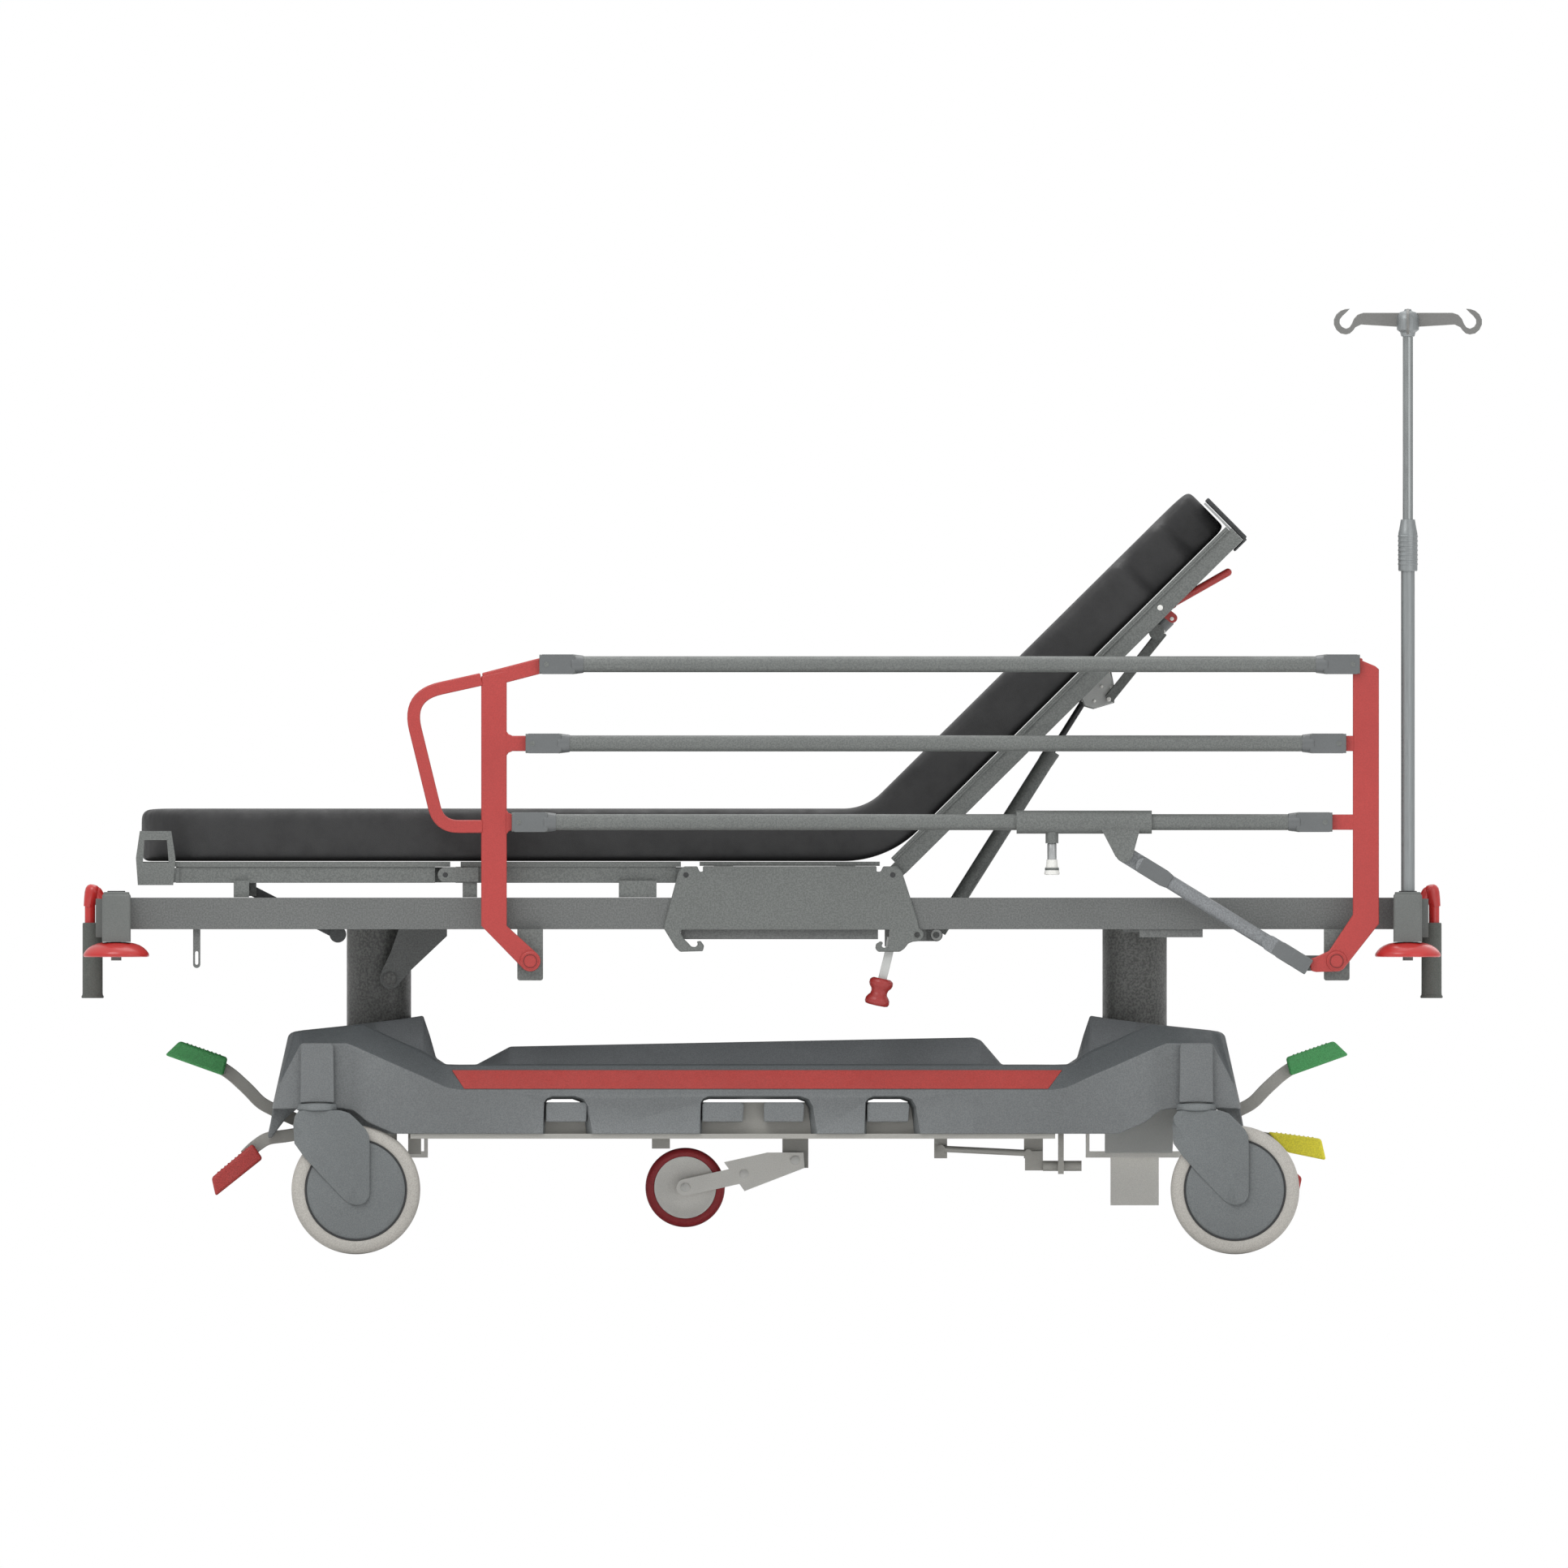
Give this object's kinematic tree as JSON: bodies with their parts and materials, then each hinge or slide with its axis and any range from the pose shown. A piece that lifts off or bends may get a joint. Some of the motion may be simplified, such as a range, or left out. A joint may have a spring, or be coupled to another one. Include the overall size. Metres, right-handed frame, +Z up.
{
  "type": "stretcher trolley",
  "caption": "Hospital stretcher trolley: hydraulic base on swivel castors, tilting frame, raising backrest, knee break, folding siderails, push handles and an infusion pole",
  "frame": {"origin": "on the floor under the middle of the bounding box", "axes": "+X to the head end, +Y across to the far side, +Z up"},
  "size_m": [2.174, 0.8651, 1.468],
  "materials": {
    "grey_paint": "fine textured powder coat",
    "dark_paint": "dark grey powder coat",
    "red_paint": "red powder coat",
    "zinc": "zinc plated",
    "cover_grey": "grained moulded plastic",
    "grey_plastic": "moulded plastic",
    "red_plastic": "satin moulded plastic",
    "red_pad": "matt",
    "green_pad": "matt",
    "yellow_pad": "matt",
    "tyre": "pale grey, matt",
    "red_tyre": "matt",
    "vinyl": "black coated cloth",
    "dark_steel": "black",
    "chrome": "polished"
  },
  "bodies": {
    "base": {"base_frame": "grey_paint", "base_cover": "cover_grey", "column_pistons": "zinc", "base_linkage": "zinc"},
    "castor_foot_near": {"castor_fork_foot_near": "grey_plastic"},
    "wheel_foot_near": {"castor_wheel_foot_near": "tyre"},
    "castor_foot_far": {"castor_fork_foot_far": "grey_plastic"},
    "wheel_foot_far": {"castor_wheel_foot_far": "tyre"},
    "castor_head_near": {"castor_fork_head_near": "grey_plastic"},
    "wheel_head_near": {"castor_wheel_head_near": "tyre"},
    "castor_head_far": {"castor_fork_head_far": "grey_plastic"},
    "wheel_head_far": {"castor_wheel_head_far": "tyre"},
    "brake_pedal_foot": {"brake_pedal_foot": "red_pad"},
    "brake_pedal_head": {"brake_pedal_head": "red_pad"},
    "steer_pedal_foot": {"steer_pedal_foot": "green_pad"},
    "steer_pedal_head": {"steer_pedal_head": "green_pad"},
    "release_pedal": {"release_pedal": "yellow_pad"},
    "fifth_wheel_arm": {"fifth_wheel_arm": "zinc"},
    "fifth_wheel": {"fifth_wheel": "red_tyre"},
    "lift_column": {"column_sleeve_foot": "grey_paint"},
    "frame": {"main_frame": "grey_paint", "corner_blocks": "grey_paint", "bumpers": "red_plastic", "seat_side_plates": "grey_paint", "seat_deck": "grey_paint", "rail_pivot_blocks": "grey_paint", "iv_pole_lower": "grey_paint", "mattress_seat": "vinyl"},
    "head_column": {"column_sleeve_head": "grey_paint"},
    "handle_foot_near": {"push_handle_foot_near": "red_paint"},
    "handle_foot_far": {"push_handle_foot_far": "red_paint"},
    "handle_head_near": {"push_handle_head_near": "red_paint"},
    "handle_head_far": {"push_handle_head_far": "red_paint"},
    "knob_lever": {"knob_lever": "red_plastic"},
    "back": {"back_frame": "grey_paint", "back_deck": "grey_paint", "mattress_back": "vinyl"},
    "release_bar": {"back_release_bar": "red_paint"},
    "gas_cylinder": {"gas_spring_cylinder": "grey_paint"},
    "gas_rod": {"gas_spring_rod": "dark_steel"},
    "thigh": {"thigh_section": "grey_paint", "mattress_thigh": "vinyl"},
    "leg": {"leg_section": "grey_paint", "mattress_leg": "vinyl"},
    "leg_prop": {"leg_prop": "dark_paint"},
    "foot_upright_near": {"foot_upright_near": "red_paint"},
    "head_upright_near": {"head_upright_near": "red_paint"},
    "rail_top_near": {"rail_top_near": "grey_paint"},
    "rail_mid_near": {"rail_mid_near": "grey_paint"},
    "rail_low_near": {"rail_low_near": "grey_paint"},
    "rail_sleeve_near": {"rail_sleeve_near": "grey_paint"},
    "rail_strut_near": {"rail_strut_near": "grey_paint"},
    "foot_upright_far": {"foot_upright_far": "red_paint"},
    "head_upright_far": {"head_upright_far": "red_paint"},
    "rail_top_far": {"rail_top_far": "grey_paint"},
    "rail_mid_far": {"rail_mid_far": "grey_paint"},
    "rail_low_far": {"rail_low_far": "grey_paint"},
    "rail_sleeve_far": {"rail_sleeve_far": "grey_paint"},
    "rail_strut_far": {"rail_strut_far": "grey_paint"},
    "pole_upper": {"iv_pole_upper": "chrome"}
  },
  "joints": [
    {"name": "swivel_foot_near", "type": "hinge", "parent": "base", "child": "castor_foot_near", "pos_m": [-0.72085, -0.2577, 0.25], "axis": [0, 0, 1], "continuous": true},
    {"name": "roll_foot_near", "type": "hinge", "parent": "castor_foot_near", "child": "wheel_foot_near", "pos_m": [-0.66085, -0.2577, 0.1], "axis": [0, 1, 0], "continuous": true},
    {"name": "swivel_foot_far", "type": "hinge", "parent": "base", "child": "castor_foot_far", "pos_m": [-0.72085, 0.3223, 0.25], "axis": [0, 0, 1], "continuous": true},
    {"name": "roll_foot_far", "type": "hinge", "parent": "castor_foot_far", "child": "wheel_foot_far", "pos_m": [-0.66085, 0.3223, 0.1], "axis": [0, 1, 0], "continuous": true},
    {"name": "swivel_head_near", "type": "hinge", "parent": "base", "child": "castor_head_near", "pos_m": [0.64375, -0.2577, 0.25], "axis": [0, 0, 1], "continuous": true},
    {"name": "roll_head_near", "type": "hinge", "parent": "castor_head_near", "child": "wheel_head_near", "pos_m": [0.70375, -0.2577, 0.1], "axis": [0, 1, 0], "continuous": true},
    {"name": "swivel_head_far", "type": "hinge", "parent": "base", "child": "castor_head_far", "pos_m": [0.64375, 0.3223, 0.25], "axis": [0, 0, 1], "continuous": true},
    {"name": "roll_head_far", "type": "hinge", "parent": "castor_head_far", "child": "wheel_head_far", "pos_m": [0.70375, 0.3223, 0.1], "axis": [0, 1, 0], "continuous": true},
    {"name": "brake_press", "type": "hinge", "parent": "base", "child": "brake_pedal_foot", "pos_m": [-0.72085, 0.0323, 0.1945], "axis": [0, 1, 0], "range_deg": [0, 25]},
    {"name": "brake_press_head", "type": "hinge", "parent": "base", "child": "brake_pedal_head", "pos_m": [0.64375, 0.0323, 0.1945], "axis": [0, -1, 0], "range_deg": [0, 25]},
    {"name": "steer_press", "type": "hinge", "parent": "base", "child": "steer_pedal_foot", "pos_m": [-0.72085, 0.0323, 0.1945], "axis": [0, -1, 0], "range_deg": [0, 25]},
    {"name": "steer_press_head", "type": "hinge", "parent": "base", "child": "steer_pedal_head", "pos_m": [0.64375, 0.0323, 0.1945], "axis": [0, 1, 0], "range_deg": [0, 25]},
    {"name": "fifth_wheel_lift", "type": "hinge", "parent": "base", "child": "fifth_wheel_arm", "pos_m": [0.02135, 0.0323, 0.1459], "axis": [0, -1, 0], "range_deg": [0, 14.3]},
    {"name": "fifth_wheel_roll", "type": "hinge", "parent": "fifth_wheel_arm", "child": "fifth_wheel", "pos_m": [-0.14975, 0.0323, 0.1037], "axis": [0, 1, 0], "continuous": true},
    {"name": "release_press", "type": "hinge", "parent": "base", "child": "release_pedal", "pos_m": [0.64375, 0.0323, 0.1945], "axis": [0, 1, 0], "range_deg": [0, 14]},
    {"name": "lift", "type": "slide", "parent": "base", "child": "lift_column", "axis": [0, 0, 1], "range_m": [-0.02, 0.18]},
    {"name": "tilt", "type": "hinge", "parent": "lift_column", "child": "frame", "pos_m": [-0.60765, 0.0323, 0.428], "axis": [0, -1, 0], "range_deg": [0, 6]},
    {"name": "head_column_pivot", "type": "hinge", "parent": "frame", "child": "head_column", "pos_m": [0.54795, 0.0323, 0.515], "axis": [0, -1, 0], "range_deg": [-6, 0]},
    {"name": "handle_foot_near_fold", "type": "hinge", "parent": "frame", "child": "handle_foot_near", "pos_m": [-1.06035, -0.2297, 0.535], "axis": [1, 0, 0], "range_deg": [0, 180]},
    {"name": "handle_foot_far_fold", "type": "hinge", "parent": "frame", "child": "handle_foot_far", "pos_m": [-1.06035, 0.2943, 0.535], "axis": [-1, 0, 0], "range_deg": [0, 180]},
    {"name": "handle_head_near_fold", "type": "hinge", "parent": "frame", "child": "handle_head_near", "pos_m": [0.99965, -0.2297, 0.535], "axis": [1, 0, 0], "range_deg": [0, 180]},
    {"name": "handle_head_far_fold", "type": "hinge", "parent": "frame", "child": "handle_head_far", "pos_m": [0.99965, 0.2943, 0.535], "axis": [-1, 0, 0], "range_deg": [0, 180]},
    {"name": "knob_lever_turn", "type": "hinge", "parent": "frame", "child": "knob_lever", "pos_m": [0.17065, -0.2897, 0.49], "axis": [0, 1, 0], "range_deg": [0, 25]},
    {"name": "back_raise", "type": "hinge", "parent": "frame", "child": "back", "pos_m": [0.17265, 0.0323, 0.589], "axis": [0, -1, 0], "range_deg": [-44.7, 20]},
    {"name": "release_pull", "type": "hinge", "parent": "back", "child": "release_bar", "pos_m": [0.58707, 0.0323, 1.00332], "axis": [0, -1, 0], "range_deg": [0, 10]},
    {"name": "gas_swing", "type": "hinge", "parent": "frame", "child": "gas_cylinder", "pos_m": [0.24005, 0.0323, 0.4957], "axis": [0, -1, 0], "range_deg": [-44, 20]},
    {"name": "gas_stroke", "type": "slide", "parent": "gas_cylinder", "child": "gas_rod", "axis": [0.5337, 0, 0.8457], "range_m": [-0.088, 0.04]},
    {"name": "knee_raise", "type": "hinge", "parent": "frame", "child": "thigh", "pos_m": [-0.14815, 0.0323, 0.589], "axis": [0, 1, 0], "range_deg": [0, 30]},
    {"name": "knee_bend", "type": "hinge", "parent": "thigh", "child": "leg", "pos_m": [-0.52205, 0.0323, 0.589], "axis": [0, 1, 0], "range_deg": [-56, 0]},
    {"name": "prop_swing", "type": "hinge", "parent": "leg", "child": "leg_prop", "pos_m": [-0.82915, 0.0323, 0.568], "axis": [0, 1, 0], "range_deg": [0, 52]},
    {"name": "siderail_fold_near", "type": "hinge", "parent": "frame", "child": "foot_upright_near", "pos_m": [-0.39035, -0.3377, 0.455], "axis": [0, -1, 0], "range_deg": [0, 77]},
    {"name": "head_upright_turn_near", "type": "hinge", "parent": "frame", "child": "head_upright_near", "pos_m": [0.86165, -0.3377, 0.455], "axis": [0, -1, 0], "range_deg": [0, 77]},
    {"name": "rail_top_turn_near", "type": "hinge", "parent": "foot_upright_near", "child": "rail_top_near", "pos_m": [-0.36515, -0.3377, 0.9159], "axis": [0, -1, 0], "range_deg": [-77, 0]},
    {"name": "rail_mid_turn_near", "type": "hinge", "parent": "foot_upright_near", "child": "rail_mid_near", "pos_m": [-0.38655, -0.3377, 0.793], "axis": [0, -1, 0], "range_deg": [-77, 0]},
    {"name": "rail_low_turn_near", "type": "hinge", "parent": "foot_upright_near", "child": "rail_low_near", "pos_m": [-0.40795, -0.3377, 0.6708], "axis": [0, -1, 0], "range_deg": [-77, 0]},
    {"name": "sleeve_slide_near", "type": "slide", "parent": "rail_low_near", "child": "rail_sleeve_near", "axis": [1, 0, 0], "range_m": [0, 0.15]},
    {"name": "strut_swing_near", "type": "hinge", "parent": "frame", "child": "rail_strut_near", "pos_m": [0.80765, -0.3377, 0.452], "axis": [0, -1, 0], "range_deg": [0, 34.3]},
    {"name": "siderail_fold_far", "type": "hinge", "parent": "frame", "child": "foot_upright_far", "pos_m": [-0.39035, 0.4023, 0.455], "axis": [0, -1, 0], "range_deg": [0, 77]},
    {"name": "head_upright_turn_far", "type": "hinge", "parent": "frame", "child": "head_upright_far", "pos_m": [0.86165, 0.4023, 0.455], "axis": [0, -1, 0], "range_deg": [0, 77]},
    {"name": "rail_top_turn_far", "type": "hinge", "parent": "foot_upright_far", "child": "rail_top_far", "pos_m": [-0.36515, 0.4023, 0.9159], "axis": [0, -1, 0], "range_deg": [-77, 0]},
    {"name": "rail_mid_turn_far", "type": "hinge", "parent": "foot_upright_far", "child": "rail_mid_far", "pos_m": [-0.38655, 0.4023, 0.793], "axis": [0, -1, 0], "range_deg": [-77, 0]},
    {"name": "rail_low_turn_far", "type": "hinge", "parent": "foot_upright_far", "child": "rail_low_far", "pos_m": [-0.40795, 0.4023, 0.6708], "axis": [0, -1, 0], "range_deg": [-77, 0]},
    {"name": "sleeve_slide_far", "type": "slide", "parent": "rail_low_far", "child": "rail_sleeve_far", "axis": [1, 0, 0], "range_m": [0, 0.15]},
    {"name": "strut_swing_far", "type": "hinge", "parent": "frame", "child": "rail_strut_far", "pos_m": [0.80765, 0.4023, 0.452], "axis": [0, -1, 0], "range_deg": [0, 34.3]},
    {"name": "pole_slide", "type": "slide", "parent": "frame", "child": "pole_upper", "axis": [0, 0, 1], "range_m": [-0.25, 0.2]}
  ],
  "couplings": [
    {"joint": "brake_press_head", "follows": "brake_press", "ratio": 1},
    {"joint": "steer_press_head", "follows": "steer_press", "ratio": 1},
    {"joint": "fifth_wheel_lift", "follows": "steer_press", "ratio": 0.57},
    {"joint": "head_column_pivot", "follows": "tilt", "ratio": -1},
    {"joint": "gas_swing", "follows": "back_raise", "ratio": 0.97},
    {"joint": "gas_stroke", "follows": "back_raise", "m_per_rad": 0.11},
    {"joint": "knee_bend", "follows": "knee_raise", "ratio": -1.8333},
    {"joint": "prop_swing", "follows": "knee_raise", "ratio": 1.727},
    {"joint": "head_upright_turn_near", "follows": "siderail_fold_near", "ratio": 1},
    {"joint": "rail_top_turn_near", "follows": "siderail_fold_near", "ratio": -1},
    {"joint": "rail_mid_turn_near", "follows": "siderail_fold_near", "ratio": -1},
    {"joint": "rail_low_turn_near", "follows": "siderail_fold_near", "ratio": -1},
    {"joint": "sleeve_slide_near", "follows": "siderail_fold_near", "m_per_rad": 0.1108},
    {"joint": "strut_swing_near", "follows": "siderail_fold_near", "ratio": 0.444},
    {"joint": "head_upright_turn_far", "follows": "siderail_fold_far", "ratio": 1},
    {"joint": "rail_top_turn_far", "follows": "siderail_fold_far", "ratio": -1},
    {"joint": "rail_mid_turn_far", "follows": "siderail_fold_far", "ratio": -1},
    {"joint": "rail_low_turn_far", "follows": "siderail_fold_far", "ratio": -1},
    {"joint": "sleeve_slide_far", "follows": "siderail_fold_far", "m_per_rad": 0.1108},
    {"joint": "strut_swing_far", "follows": "siderail_fold_far", "ratio": 0.444}
  ]
}
